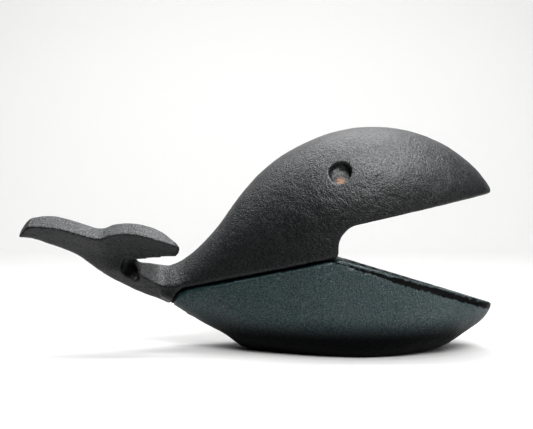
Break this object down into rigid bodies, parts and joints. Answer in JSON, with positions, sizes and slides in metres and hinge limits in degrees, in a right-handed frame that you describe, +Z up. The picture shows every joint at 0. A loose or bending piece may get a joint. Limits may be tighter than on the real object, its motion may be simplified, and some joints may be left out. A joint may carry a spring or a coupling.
{
  "type": "lobster cracker",
  "caption": "Whale-shaped cast-iron lobster cracker with an open wedge mouth, a flat foot and flukes that rise as a lever behind a hidden hinge.",
  "frame": {"origin": "on the table, under the middle of the whole whale's length and of its width", "axes": "+X towards the snout, +Y towards the whale's left, +Z up"},
  "size_m": [0.2286, 0.071, 0.1097],
  "materials": {
    "lower_iron": "black enamel over rough sand-cast iron, with a faint blue-green cast, satin",
    "upper_iron": "black enamel over rough sand-cast iron, satin",
    "pin_steel": "plain turned steel, painted over at its end"
  },
  "bodies": {
    "base": {"lower_jaw_base": "lower_iron", "hinge_pin": "pin_steel"},
    "head": {"upper_jaw_tail": "upper_iron"}
  },
  "joints": [
    {"name": "jaw_hinge", "type": "hinge", "parent": "base", "child": "head", "pos_m": [-0.0338, 0, 0.0208], "axis": [0, -1, 0], "range_deg": [0, 35]}
  ]
}
